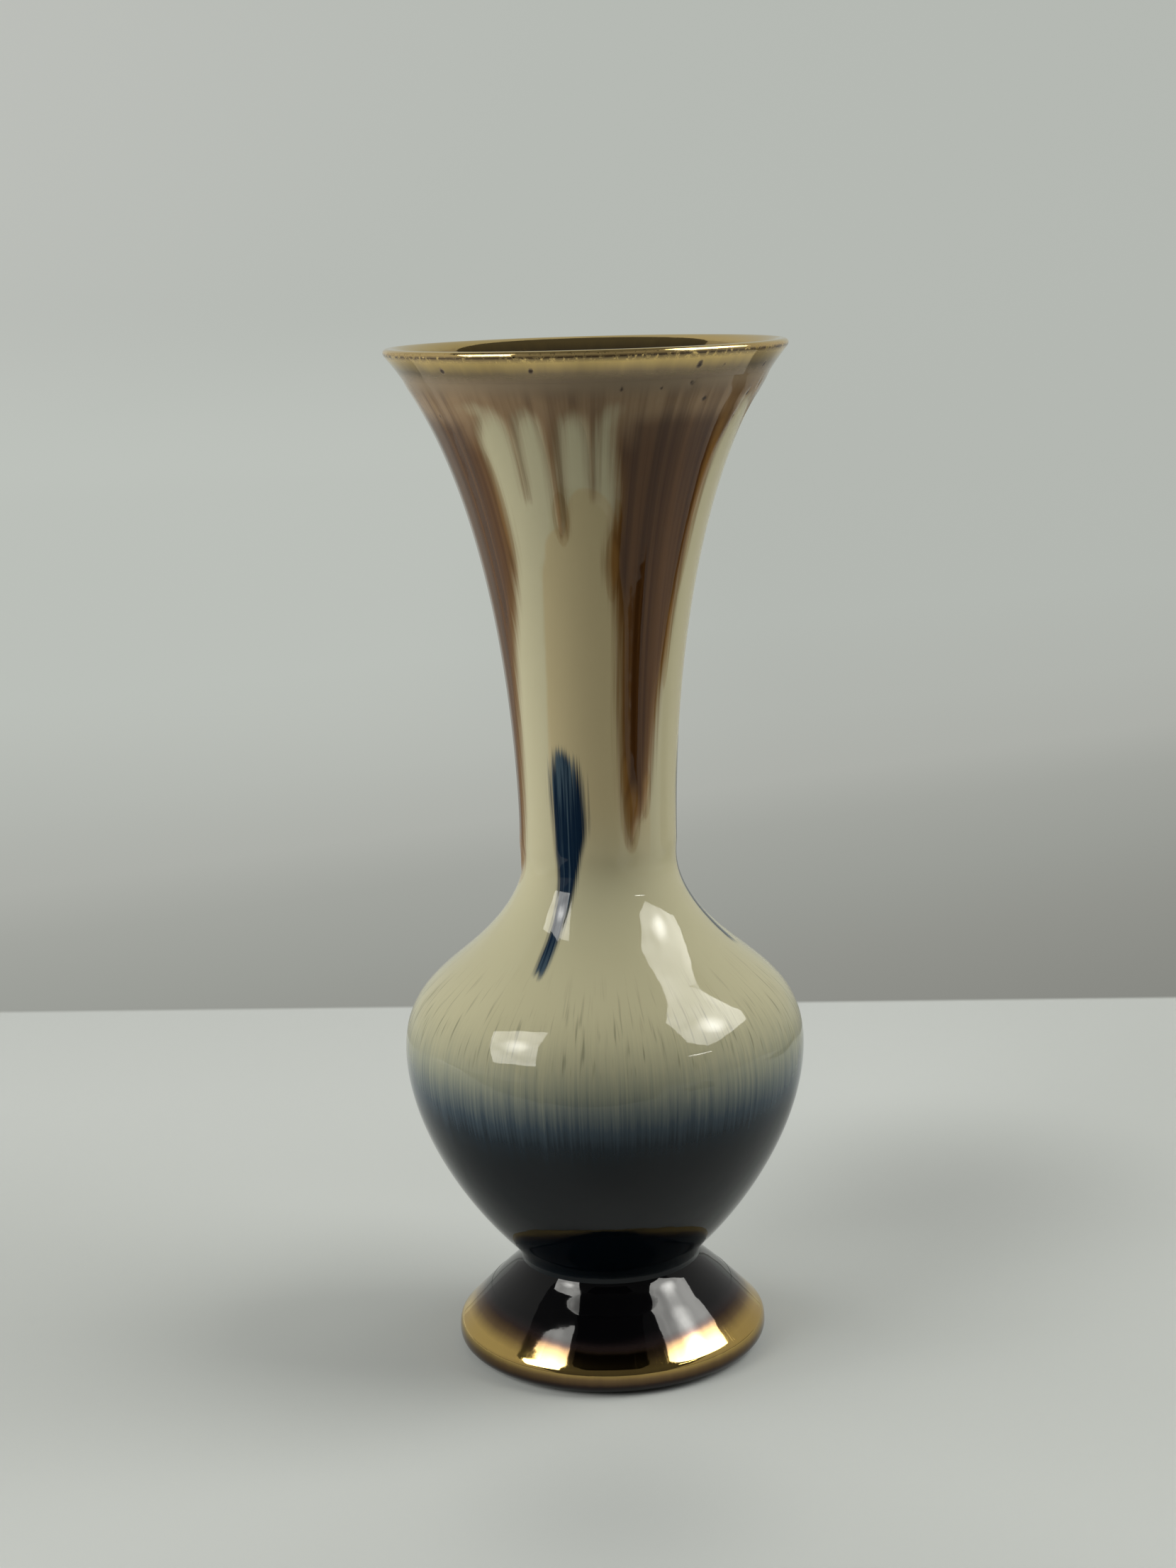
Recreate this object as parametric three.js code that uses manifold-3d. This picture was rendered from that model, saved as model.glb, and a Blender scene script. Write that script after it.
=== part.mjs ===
// Ceramic bud vase: a hollow bulb with a trumpet neck, luted onto a low flared foot.
// Millimetres, +Z up, origin on the table under the axis. The side called the front
// faces -Y; angles round the vase are in degrees from the front, positive towards +X.

import * as THREE from 'three';
import { mergeVertices } from 'three/addons/utils/BufferGeometryUtils.js';
import Module from 'manifold-3d';

const wasm = await Module();
wasm.setup();

// ---- driving dimensions ----------------------------------------------------

const HEIGHT = 220;          // table to the crown of the lip
const LIP_OUTER_R = 41.9;    // outside of the mouth, just below the lip's rounding
const LIP_OUTER_Z = 218.5;
const NECK_R = 16.8;         // the narrowest place
const NECK_Z = 114.5;
const BELLY_R = 43.6;        // the widest place
const BELLY_Z = 68.7;
const WAIST_R = 20.0;        // where the bulb sits on the foot
const WAIST_Z = 20.9;
const FOOT_EDGE_R = 34.1;    // the foot's widest place
const FOOT_EDGE_Z = 3.9;
const FOOT_BASE_R = 30.0;    // outside of the ring that touches the table
const FOOT_RING_WIDTH = 4.4;

const WALL = 3.4;            // glazed wall, outside to inside
const GLAZE = 0.4;           // each glaze coat
const RUN = 0.35;            // brown and blue glaze, over the cream
const LUSTRE = 0.1;          // gold lustre
const COAT_GAP = 0.03;       // between a coat and the runs laid over it
const SLIP = 0.8;            // slip that joins the bulb to the foot
const CAVITY_FLOOR_Z = 25.0;
const FOOT_ROOF_Z = 14.4;    // underside of the foot's hollow

const CREAM_FROM_Z = 66;     // cream above, cobalt below
const BROWN_TOP_Z = 214.6;   // the brown coat starts under the gilded lip
const COLLAR_LOW_Z = 206.4;  // lower edge of the brown collar, between its runs
const GILT_LOW_Z = 215.3;    // the lustre's lower edge outside the lip
const GILT_INSIDE_Z = 211;   // and inside it, as the height of the matching point outside
const FOOT_GILT_TOP_Z = 10.6;
const FOOT_GILT_LOW_Z = 3.3;

const SEGMENTS = 28;         // facets round the axis

// ---- materials -------------------------------------------------------------

const ceramic = (color, roughness) => new THREE.MeshStandardMaterial({ color, roughness });
const bisqueMaterial = ceramic(0x8b7765, 0.85);
const slipMaterial = ceramic(0x9a8672, 0.8);
const oliveMaterial = ceramic(0x4d4a34, 0.12);
const creamMaterial = ceramic(0xb5af8c, 0.1);
const cobaltMaterial = ceramic(0x161d24, 0.08);
const blackMaterial = ceramic(0x0d0d10, 0.06);
const brownMaterial = ceramic(0x5a4636, 0.12);
const blueMaterial = ceramic(0x14263c, 0.12);
const goldMaterial = new THREE.MeshStandardMaterial({ color: 0xb89a55, roughness: 0.18, metalness: 1 });

// ---- outlines, as radius and height ----------------------------------------

const at = (r, z) => new THREE.Vector2(r, z);

function curve(from, control1, control2, to, steps) {
  return new THREE.CubicBezierCurve(from, control1, control2, to).getPoints(steps).slice(1);
}

// Moves an outline sideways by a distance; positive is to the left of its direction.
function offset(outline, distance) {
  return outline.map((point, i) => {
    const before = outline[Math.max(i - 1, 0)];
    const after = outline[Math.min(i + 1, outline.length - 1)];
    const along = after.clone().sub(before).normalize();
    return at(point.x - along.y * distance, point.y + along.x * distance);
  });
}

// Adds a point where a rising outline passes each of these heights.
function withStations(outline, heights) {
  const added = heights.map((z) => {
    const i = outline.findIndex((point) => point.y > z);
    const share = (z - outline[i - 1].y) / (outline[i].y - outline[i - 1].y);
    return outline[i - 1].clone().lerp(outline[i], share);
  });
  return [...outline, ...added].sort((a, b) => a.y - b.y);
}

const nearestTo = (outline, z) => outline.reduce(
  (best, point, i) => (Math.abs(point.y - z) < Math.abs(outline[best].y - z) ? i : best), 0);

// The bulb, neck and mouth, from the waist up the outside to the lip.
function bodyOutline() {
  const waist = at(WAIST_R, WAIST_Z);
  const low = at(22.4, 24.6);
  const belly = at(BELLY_R, BELLY_Z);
  const shoulder = at(28.8, 91);
  const neck = at(NECK_R, NECK_Z);
  const mouth = at(LIP_OUTER_R, LIP_OUTER_Z);
  const outline = [
    waist,
    ...curve(waist, at(20.1, 21.9), at(21.2, 23.36), low, 3),
    ...curve(low, at(32.5, 35), at(BELLY_R, 52.5), belly, 5),
    ...curve(belly, at(BELLY_R, 80.5), at(36.2, 84.6), shoulder, 4),
    ...curve(shoulder, at(14.1, 103.7), at(NECK_R, 111.8), neck, 4),
    ...curve(neck, at(NECK_R, 137.8), at(19.9, 192), mouth, 7),
  ];
  return withStations(outline, [CREAM_FROM_Z, COLLAR_LOW_Z, GILT_INSIDE_Z, BROWN_TOP_Z, GILT_LOW_Z]);
}

// The rounded lip and the inside, down to the middle of the cavity's floor.
function insideOutline(outside) {
  const mouth = outside[outside.length - 1];
  const wall = offset(outside, WALL).filter((point) => point.y > 28 && point.y < LIP_OUTER_Z);
  const down = wall.reverse();
  const lipInner = down[0];
  const crown = at(LIP_OUTER_R - 1.0, HEIGHT);
  const lowest = down[down.length - 1];
  return [
    ...curve(mouth, at(LIP_OUTER_R + 0.5, 219.3), at(LIP_OUTER_R, HEIGHT), crown, 2),
    ...curve(crown, at(LIP_OUTER_R - 2, HEIGHT), at(lipInner.x + 1.4, lipInner.y + 2.2), lipInner, 3),
    ...down.slice(1).filter((point, i) => i % 2 === 1 || point.y < 30),
    ...curve(lowest, at(lowest.x - 2.6, lowest.y - 3.2), at(9, CAVITY_FLOOR_Z), at(0, CAVITY_FLOOR_Z), 3),
  ];
}

// The foot's outside, from the table up to the waist.
function footOutline() {
  const base = at(FOOT_BASE_R, 0);
  const edge = at(FOOT_EDGE_R, FOOT_EDGE_Z);
  const shoulder = at(32.2, 8.2);
  const throat = at(25.0, 14.8);
  const outline = [
    base,
    ...curve(base, at(32.4, 0.4), at(FOOT_EDGE_R, 2.0), edge, 4),
    ...curve(edge, at(FOOT_EDGE_R, 5.9), at(33.4, 7.0), shoulder, 3),
    ...curve(shoulder, at(29.8, 10.4), at(27.2, 12.75), throat, 3),
    ...curve(throat, at(23.6, 16.1), at(20.9, 18.4), at(WAIST_R, WAIST_Z - SLIP), 3),
  ];
  return withStations(outline, [FOOT_GILT_LOW_Z, FOOT_GILT_TOP_Z]);
}

const body = bodyOutline();
const bodyGlazed = [...body, ...insideOutline(body)];
const bodyBare = offset(bodyGlazed, GLAZE);
bodyBare[0] = at(WAIST_R - GLAZE, WAIST_Z);
bodyBare[bodyBare.length - 1] = at(0, CAVITY_FLOOR_Z - GLAZE);
const lipIndex = body.length - 1;
const lipInnerIndex = lipIndex + 5;   // where the lip's rounding meets the inside wall
const creamIndex = nearestTo(body, CREAM_FROM_Z);

const footGlazed = footOutline();
const footBare = offset(footGlazed, GLAZE);
footBare[0] = at(FOOT_BASE_R - GLAZE, 0);
footBare[footBare.length - 1] = at(WAIST_R - GLAZE, WAIST_Z - SLIP);

// ---- solids of revolution ---------------------------------------------------

function named(name, geometry, material) {
  const mesh = new THREE.Mesh(geometry, material);
  mesh.name = name;
  return mesh;
}

// Turns an outline, listed with the material on its left, round the vase's axis.
function turned(outline) {
  const geometry = new THREE.LatheGeometry(outline, SEGMENTS);
  geometry.rotateX(Math.PI / 2);
  geometry.deleteAttribute('normal');
  geometry.deleteAttribute('uv');
  return mergeVertices(geometry, 1e-4);
}

const closed = (outline) => [...outline, outline[0]];

// A coat between two matching stretches of outline. One that reaches the axis stays open there.
function coat(inner, outer) {
  const loop = [...[...inner].reverse(), ...outer];
  return turned(inner[inner.length - 1].x === 0 ? loop : closed(loop));
}

function vesselCasting() {
  const outline = [at(0, WAIST_Z), ...bodyBare];
  return named('vessel_casting', turned(outline), bisqueMaterial);
}

function footCasting() {
  const ringInner = at(FOOT_BASE_R - GLAZE - FOOT_RING_WIDTH, 0);
  const roof = at(13, FOOT_ROOF_Z - 0.8);
  const hollow = [ringInner, ...curve(ringInner, at(26.6, 6.6), at(22.5, 11.4), roof, 5), at(0, FOOT_ROOF_Z)];
  const outline = [...hollow.reverse(), ...footBare, at(0, WAIST_Z - SLIP)];
  return named('foot_casting', turned(outline), bisqueMaterial);
}

function lutingSlip() {
  const r = WAIST_R - GLAZE;
  const outline = [at(0, WAIST_Z - SLIP), at(r, WAIST_Z - SLIP), at(r, WAIST_Z), at(0, WAIST_Z)];
  return named('luting_slip', turned(outline), slipMaterial);
}

function bodyCoat(name, from, to, material) {
  return named(name, coat(bodyBare.slice(from, to + 1), bodyGlazed.slice(from, to + 1)), material);
}

// The cobalt coat also runs down over the slip joint, to the top of the foot's glaze.
function cobaltGlaze() {
  const joint = WAIST_Z - SLIP;
  const inner = [at(WAIST_R - GLAZE, joint), ...bodyBare.slice(0, creamIndex + 1)];
  const outer = [at(WAIST_R, joint), ...bodyGlazed.slice(0, creamIndex + 1)];
  return named('cobalt_glaze', coat(inner, outer), cobaltMaterial);
}

// The foot's glaze stops just short of the table.
function footGlaze() {
  return named('foot_glaze', coat(footBare.slice(1), footGlazed.slice(1)), blackMaterial);
}

function lustre(name, glazed, from, to) {
  const band = glazed.slice(from - 1, to + 2);
  const raised = offset(band, -LUSTRE);
  return named(name, coat(band.slice(1, -1), raised.slice(1, -1)), goldMaterial);
}

// ---- runs and brush strokes, laid over the cream ----------------------------

function toManifold(geometry) {
  const bare = geometry.clone();
  bare.deleteAttribute('normal');
  bare.deleteAttribute('uv');
  const merged = mergeVertices(bare, 1e-4);
  return new wasm.Manifold(new wasm.Mesh({
    numProp: 3,
    vertProperties: new Float32Array(merged.attributes.position.array),
    triVerts: new Uint32Array(merged.index.array),
  }));
}

function fromManifold(solid) {
  const mesh = solid.getMesh();
  const geometry = new THREE.BufferGeometry();
  geometry.setAttribute('position', new THREE.BufferAttribute(mesh.vertProperties, mesh.numProp));
  geometry.setIndex(new THREE.BufferAttribute(mesh.triVerts, 1));
  return geometry;
}

// The thin layer just outside the glaze that every run and stroke is cut from.
function overglaze(fromZ, toZ) {
  const from = nearestTo(body, fromZ);
  const to = nearestTo(body, toZ);
  const stretch = body.slice(from, to + 1);
  return toManifold(coat(offset(stretch, -COAT_GAP), offset(stretch, -COAT_GAP - RUN)));
}

// Extrudes a shape drawn as angle and height, then bends it round the axis into a wedge.
function wedge(shape) {
  const NEAR = 4;
  const FAR = 180;
  const geometry = new THREE.ExtrudeGeometry(shape, { depth: FAR - NEAR, bevelEnabled: false });
  const position = geometry.attributes.position;
  for (let i = 0; i < position.count; i += 1) {
    const angle = THREE.MathUtils.degToRad(position.getX(i));
    const r = NEAR + position.getZ(i);
    position.setXYZ(i, r * Math.sin(angle), -r * Math.cos(angle), position.getY(i));
  }
  return toManifold(geometry);
}

const smooth = (points) => new THREE.SplineCurve(points.map(([angle, z]) => at(angle, z)));

// A run hangs from the collar: down its left edge to the tip, and up its right edge.
function run(leftEdge, rightEdge, steps) {
  const left = smooth(leftEdge).getPoints(steps);
  const right = smooth(rightEdge).getPoints(steps);
  return wedge(new THREE.Shape([...left, ...right.slice(1)]));
}

const RUN_TOP = 207.5;

const leftRun = () => run(
  [[-128, RUN_TOP], [-124, 180], [-116, 150], [-106, 122], [-93, 107.5]],
  [[-93, 107.5], [-76, 112], [-67, 123], [-60.5, 144], [-50, 163], [-39.5, 180], [-39, RUN_TOP]], 10);

const rightRun = () => run(
  [[11, RUN_TOP], [10.5, 188], [10, 177], [14.5, 163], [14.5, 143], [18, 126], [25, 116.5]],
  [[25, 116.5], [38, 127], [45, 140], [51.5, 160], [57, 185], [59.5, RUN_TOP]], 10);

const backRun = () => run(
  [[146, RUN_TOP], [147, 185], [151, 158], [159, 137]],
  [[159, 137], [169, 152], [174, 178], [176, RUN_TOP]], 7);

const drip = (angle, width, tip) => run(
  [[angle - width, RUN_TOP], [angle - width * 0.45, (RUN_TOP + tip) / 2], [angle, tip]],
  [[angle, tip], [angle + width * 0.45, (RUN_TOP + tip) / 2], [angle + width, RUN_TOP]], 3);

// Short drips, each as its angle, half width at the collar, and the height of its tip.
const DRIPS = [[-28, 4, 192], [-15, 4, 183], [1, 4, 190], [78, 4, 196], [96, 5, 188], [118, 4, 197], [-148, 5, 186]];

// One glaze coat: the collar under the lip and all the runs that hang from it.
function brownGlaze() {
  const shell = overglaze(98, BROWN_TOP_Z);
  let solid = overglaze(COLLAR_LOW_Z, BROWN_TOP_Z);
  const runs = [leftRun(), rightRun(), backRun(), ...DRIPS.map(([angle, width, tip]) => drip(angle, width, tip))];
  runs.forEach((cutter) => {
    solid = solid.add(shell.intersect(cutter));
  });
  return named('brown_glaze', fromManifold(solid), brownMaterial);
}

// A stroke starts broad at the neck and thins down over the shoulder as the brush lifts.
function blueStroke(name, angle) {
  const outline = [
    [-8.5, 133], [-11.5, 129], [-10.5, 120], [-8, 109], [-6.5, 98], [-4.5, 91.6], [0.5, 91.6],
    [3, 98], [5.5, 106], [12.5, 119], [14, 128], [9, 133], [0, 136.5],
  ].map(([across, z]) => at(angle + across, z));
  const solid = overglaze(88, 140).intersect(wedge(new THREE.Shape(outline)));
  return named(name, fromManifold(solid), blueMaterial);
}

// ---- the vase ----------------------------------------------------------------

const vase = new THREE.Group();
vase.add(
  vesselCasting(),
  footCasting(),
  lutingSlip(),
  bodyCoat('inner_glaze', lipInnerIndex, bodyGlazed.length - 1, oliveMaterial),
  bodyCoat('cream_glaze', creamIndex, lipInnerIndex, creamMaterial),
  cobaltGlaze(),
  footGlaze(),
  brownGlaze(),
  blueStroke('blue_stroke_front', -25),
  blueStroke('blue_stroke_right', 90),
  blueStroke('blue_stroke_rear', -145),
  lustre('rim_gilding', bodyGlazed, nearestTo(body, GILT_LOW_Z), lipInnerIndex + 1),
  lustre('foot_gilding', footGlazed, nearestTo(footGlazed, FOOT_GILT_LOW_Z), nearestTo(footGlazed, FOOT_GILT_TOP_Z)),
);

export default vase;
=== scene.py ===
"""A ceramic bud vase with run glazes and gilding, on a pale table between two softboxes."""

import math

import bpy
import numpy as np
from mathutils import Matrix, Vector


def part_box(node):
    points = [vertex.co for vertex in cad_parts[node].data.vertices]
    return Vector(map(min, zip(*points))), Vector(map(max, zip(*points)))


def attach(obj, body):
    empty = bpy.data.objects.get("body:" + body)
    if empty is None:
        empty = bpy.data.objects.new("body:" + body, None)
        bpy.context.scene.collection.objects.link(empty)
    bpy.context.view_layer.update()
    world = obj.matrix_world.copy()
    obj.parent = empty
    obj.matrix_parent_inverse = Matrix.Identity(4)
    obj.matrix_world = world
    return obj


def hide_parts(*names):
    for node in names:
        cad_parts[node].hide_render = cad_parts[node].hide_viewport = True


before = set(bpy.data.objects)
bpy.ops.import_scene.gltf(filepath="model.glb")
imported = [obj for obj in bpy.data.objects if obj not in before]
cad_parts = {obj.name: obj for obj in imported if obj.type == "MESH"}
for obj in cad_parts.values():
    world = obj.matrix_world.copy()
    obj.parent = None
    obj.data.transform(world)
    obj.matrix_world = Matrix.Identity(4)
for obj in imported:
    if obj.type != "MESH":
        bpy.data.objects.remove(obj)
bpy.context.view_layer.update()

MM = 0.001

# ---- sizes in millimetres, read from the frame where a node's box gives them ----


def half_width(node):
    low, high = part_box(node)
    return (high.x - low.x) / 2 / MM


def low_z(node):
    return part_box(node)[0].z / MM


def high_z(node):
    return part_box(node)[1].z / MM


HEIGHT = high_z("cream_glaze")
BELLY_R = half_width("cream_glaze")
FOOT_EDGE_R = half_width("foot_glaze")
GLAZE = FOOT_EDGE_R - half_width("foot_casting")
WAIST_R = half_width("luting_slip") + GLAZE
WAIST_Z = low_z("vessel_casting")
SLIP_Z = high_z("foot_casting")
CREAM_FROM_Z = high_z("cobalt_glaze")
CAVITY_FLOOR_Z = low_z("inner_glaze") + GLAZE
FOOT_GILT_TOP_Z = high_z("foot_gilding")
FOOT_GILT_LOW_Z = low_z("foot_gilding")

LIP_R = 41.9             # outside of the mouth, just below the lip's rounding
LIP_Z = HEIGHT - 1.5
NECK_R = 16.8            # the narrowest place
NECK_Z = 114.5
BELLY_Z = 68.7
FOOT_EDGE_Z = 3.6
FOOT_BASE_R = 30.0
FOOT_RING_WIDTH = 4.4
FOOT_ROOF_Z = 14.4
CAVITY_TURN_Z = 28       # below this the inside wall turns in to the cavity's floor
WALL = 3.4
BROWN_THICK = 0.32       # rise of the runs and strokes from their edges to their tops
BLUE_THICK = 0.08
BROWN_EDGE = 0.06        # depth of those edges under the cream's surface
BLUE_EDGE = 0.04
SUNK = 0.7 * GLAZE       # depth of the undersides, as melted glaze sinks in
LUSTRE = 0.04
GILT_LOW_Z = 215.3       # lower edge of the gold outside the lip
GILT_INSIDE_Z = 216.4    # and inside it
FOOT_GILT_DIP = 2.2      # the gold's upper edge on the foot is this much lower at the front, partly painted shade that dims the highlights there
COLLAR_LOW_Z = 207.2     # lower edge of the brown collar between its runs

SEGMENTS = 240           # round the glazed surfaces
RUN_SEGMENTS = 480       # round the brown glaze, for its narrow drips
STROKE_SEGMENTS = 110    # across a brush stroke's part of the bulb
RIM_SEGMENTS = 640       # round the gilded lip, for its smooth highlights
CORE_SEGMENTS = 128      # round the castings
ROW = 1.0                # spacing of the rows up the outside
HIDDEN_ROW = 1.2         # inside the vase and on the castings
FOOT_ROW = 0.45
LIP_ROW = 0.3

# Where the glazes lie, as (degrees from the front towards +X, height). A run is given by
# its left edge from the collar down to its tip, then its right edge back up.
RUN_TOP = 209.5
LEFT_RUN = (
    [(-128, RUN_TOP), (-124, 180), (-116, 150), (-106, 122), (-93, 107.5)],
    [(-73, 112), (-67.5, 120), (-64, 131), (-60, 144), (-54, 157), (-46, 168), (-40, 178),
     (-40, 190), (-41.5, 201), (-44, RUN_TOP)],
)
RIGHT_RUN = (
    [(11, RUN_TOP), (10.4, 190), (8.8, 183), (7.4, 176), (11.4, 168), (13.2, 159), (13.4, 145),
     (15.5, 130), (19, 121.5), (23.5, 116.5)],
    [(29, 120.5), (35, 123), (41, 131), (46, 146), (51, 158), (54.5, 173), (57, 187), (59.5, 198),
     (61.5, RUN_TOP)],
)
BACK_RUN = (
    [(146, RUN_TOP), (147, 185), (151, 158), (159, 137)],
    [(164, 140), (169, 152), (174, 178), (176, RUN_TOP)],
)
# Places where a run or drip swells at its tip: angle and height.
RUN_TIPS = [(25, 121), (35, 127), (-90, 112), (160, 141), (-13, 186)]
TIP_SWELL = 0.22
# Short drips from the collar: angle, half width at the top, half width halfway, tip height.
DRIPS = [
    (-27, 6, 1.9, 190), (-13, 7.5, 3.2, 182.5), (1.6, 6.5, 2.0, 190), (78, 4, 1.8, 199),
    (96, 5, 2.4, 189), (118, 4, 2, 198), (-148, 5, 2.6, 187), (-168, 4, 2, 196),
]
# A brush stroke, broad at the neck and thin where the brush lifts; angles from its middle.
STROKE = [
    (-11, 133.5), (-13, 128), (-10, 119), (-7.4, 109.5), (-5.8, 99), (-6.2, 94), (-5.4, 91.2),
    (-3.6, 91.5), (-2, 90.6), (-0.2, 92.5), (2.3, 99), (6, 106), (10.5, 112.5), (16.5, 119.5),
    (17, 126), (14.5, 132), (8, 136), (-4, 137.5),
]
STROKE_REACH = 24        # degrees to either side of a stroke's middle that its mesh spans
STROKE_ANGLES = {"blue_stroke_front": -25, "blue_stroke_right": 90, "blue_stroke_rear": -145}
# A darker, warmer patch down the front of the neck, with two rounded lobes at its top.
FRONT_PATCH = [
    (-26, 174.5), (-28.5, 165.5), (-32, 151), (-35, 138), (-36, 118), (-30, 100), (0, 98),
    (34, 104), (40, 125), (30, 150), (20, 172), (12.5, 185), (6, 190.8), (-3, 192.5), (-9, 190),
    (-11.5, 185), (-17, 184), (-22, 181.5), (-23.5, 178),
]
# Pools where the brown glaze is thin and amber: angle, height, half width and half height.
AMBER_POOLS = [
    (24, 122, 8, 8), (19, 131, 3, 6), (36, 127, 5, 6), (10.5, 176, 4, 8), (55, 190, 4, 22),
    (50, 160, 3.5, 12), (-13, 186, 4, 6), (-84, 112, 14, 7), (-42, 186, 2.5, 14), (160, 142, 8, 8),
]
# Pits where gas broke through the glaze near the lip: angle, height, radius.
PIT_DEPTH = 0.2
PITS = [
    (-45, 216.2, 0.75), (-15.5, 216.2, 0.6), (10.5, 212.3, 0.65), (23, 212.2, 0.5),
    (33.5, 216.4, 0.75), (33.5, 212.7, 0.75), (40.5, 209.4, 0.75), (43, 215.8, 0.45),
    (65.5, 215.4, 0.8), (65.5, 209.5, 0.7), (62.5, 204.8, 0.6), (-60, 206.5, 0.55),
    (72, 211.5, 0.6), (108, 213, 0.6), (-118, 214.5, 0.7), (158, 211, 0.6),
]


# ---- outlines, as rows of (radius, height) with the clay on their left -------------------


def bezier(start, control1, control2, end, steps=60):
    """Points of a cubic curve, without its first."""
    t = np.linspace(0, 1, steps + 1)[1:, None]
    u = 1 - t
    start, control1, control2, end = (np.array(p, float) for p in (start, control1, control2, end))
    return u**3 * start + 3 * u * u * t * control1 + 3 * u * t * t * control2 + t**3 * end


def resample(points, spacing):
    """The same line with evenly spaced points."""
    along = np.r_[0, np.cumsum(np.hypot(*np.diff(points, axis=0).T))]
    wanted = np.linspace(0, along[-1], max(2, int(round(along[-1] / spacing)) + 1))
    return np.c_[np.interp(wanted, along, points[:, 0]), np.interp(wanted, along, points[:, 1])]


def left_of(points):
    """Unit vectors to the left of a line's direction, at each of its points."""
    along = np.gradient(points, axis=0)
    along /= np.maximum(np.hypot(along[:, 0], along[:, 1]), 1e-9)[:, None]
    return np.c_[-along[:, 1], along[:, 0]]


def offset(points, distance):
    """The line moved to its left."""
    return points + left_of(points) * distance


def body_outline():
    """Outside of the bulb, neck and mouth, from the waist up to the lip."""
    waist = (WAIST_R, WAIST_Z)
    low = (22.4, 24.6)
    belly = (BELLY_R, BELLY_Z)
    shoulder = (28.8, 91)
    neck = (NECK_R, NECK_Z)
    return np.vstack([
        [(WAIST_R, SLIP_Z), waist],
        bezier(waist, (20.1, 21.9), (21.2, 23.36), low),
        bezier(low, (32.5, 35), (BELLY_R, 52.5), belly),
        bezier(belly, (BELLY_R, 80.5), (36.2, 84.6), shoulder),
        bezier(shoulder, (14.1, 103.7), (NECK_R, 111.8), neck),
        bezier(neck, (NECK_R, 137.8), (19.9, 192), (LIP_R, LIP_Z)),
    ])


def lip_outline(mouth, inner):
    crown = (LIP_R - 1.0, HEIGHT)
    return np.vstack([
        [mouth],
        bezier(mouth, (LIP_R + 0.5, LIP_Z + 0.8), (LIP_R, HEIGHT), crown),
        bezier(crown, (LIP_R - 2, HEIGHT), (inner[0] + 1.4, inner[1] + 2.2), inner),
    ])


def inside_outline(outer):
    """Inside wall from below the lip down to the middle of the cavity's floor."""
    wall = offset(outer, WALL)
    wall = wall[(wall[:, 1] > CAVITY_TURN_Z) & (outer[:, 1] < GILT_LOW_Z)][::-1]
    low = wall[-1]
    floor = bezier(low, (low[0] - 2.6, low[1] - 3.2), (9, CAVITY_FLOOR_Z), (0, CAVITY_FLOOR_Z))
    return np.vstack([wall, floor])


def foot_outline():
    """Outside of the foot, from the table up to the waist."""
    base = (FOOT_BASE_R, 0)
    edge = (FOOT_EDGE_R, FOOT_EDGE_Z)
    shoulder = (33.3, 6.5)
    throat = (25.0, 14.8)
    return np.vstack([
        [base],
        bezier(base, (32.4, 0.3), (FOOT_EDGE_R, 1.6), edge),
        bezier(edge, (FOOT_EDGE_R, 4.9), (33.95, 5.85), shoulder),
        bezier(shoulder, (30.9, 8.9), (27.4, 12.55), throat),
        bezier(throat, (23.6, 16.1), (20.9, 18.4), (WAIST_R, SLIP_Z)),
    ])


def recess_outline():
    """The hollow under the foot, from the axis out to the ring it stands on."""
    ring = (FOOT_BASE_R - GLAZE - FOOT_RING_WIDTH, 0)
    roof = (13, FOOT_ROOF_Z - 0.8)
    wall = bezier(ring, (26.6, 6.6), (22.5, 11.4), roof, 24)
    return np.vstack([[ring], wall, [(0, FOOT_ROOF_Z)]])[::-1]


outside = resample(body_outline(), ROW)
inside = resample(inside_outline(outside), HIDDEN_ROW)
lip = resample(lip_outline(outside[-1], inside[0]), LIP_ROW)
skin = np.vstack([outside, lip[1:], inside[1:]])
skin_bare = offset(skin, GLAZE)
skin_bare[-1] = (0, CAVITY_FLOOR_Z - GLAZE)
foot = resample(foot_outline(), FOOT_ROW)
foot_bare = offset(foot, GLAZE)
LIP_END = len(outside) + len(lip) - 2


def row_at(points, z):
    return int(np.argmin(np.abs(points[:, 1] - z)))


# ---- where the glazes lie: maps over the outside, of the distance in from a glaze's edge ----

MAP_STEP = 0.5
MAP_ANGLES = np.arange(-180, 180 + MAP_STEP, MAP_STEP)
MAP_HEIGHTS = np.arange(84, 221, MAP_STEP)
MAP_RADII = np.interp(MAP_HEIGHTS, outside[:, 1], outside[:, 0])
FAR_OUTSIDE = -20.0
NEAR_ANGLE = 15          # a loop is worked out this far round it, in degrees
NEAR_HEIGHT = 8          # and this far below it


def smooth_loop(points, steps=6):
    """A Catmull-Rom line through the points and back to the first."""
    b = np.array(points, float)
    a, c, d = np.roll(b, 1, axis=0), np.roll(b, -1, axis=0), np.roll(b, -2, axis=0)
    t = np.linspace(0, 1, steps, endpoint=False)[:, None, None]
    square = 2 * a - 5 * b + 4 * c - d
    cube = 3 * b - a - 3 * c + d
    line = 0.5 * (2 * b + (c - a) * t + square * t**2 + cube * t**3)
    return line.transpose(1, 0, 2).reshape(-1, 2)


def drip_loop(angle, top, middle, tip):
    """A drip that flares where it leaves the collar, so that the cream shows in rounded tongues."""
    half = (RUN_TOP + tip) / 2
    flare = (top + 2 * middle) / 3
    left = [(-top, RUN_TOP + 1), (-flare, RUN_TOP - 4.5), (-middle, half), (-middle * 0.7, tip + 3)]
    right = [(-across, z) for across, z in left[::-1]]
    return smooth_loop([(angle + across, z) for across, z in left + [(0, tip)] + right])


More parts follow.
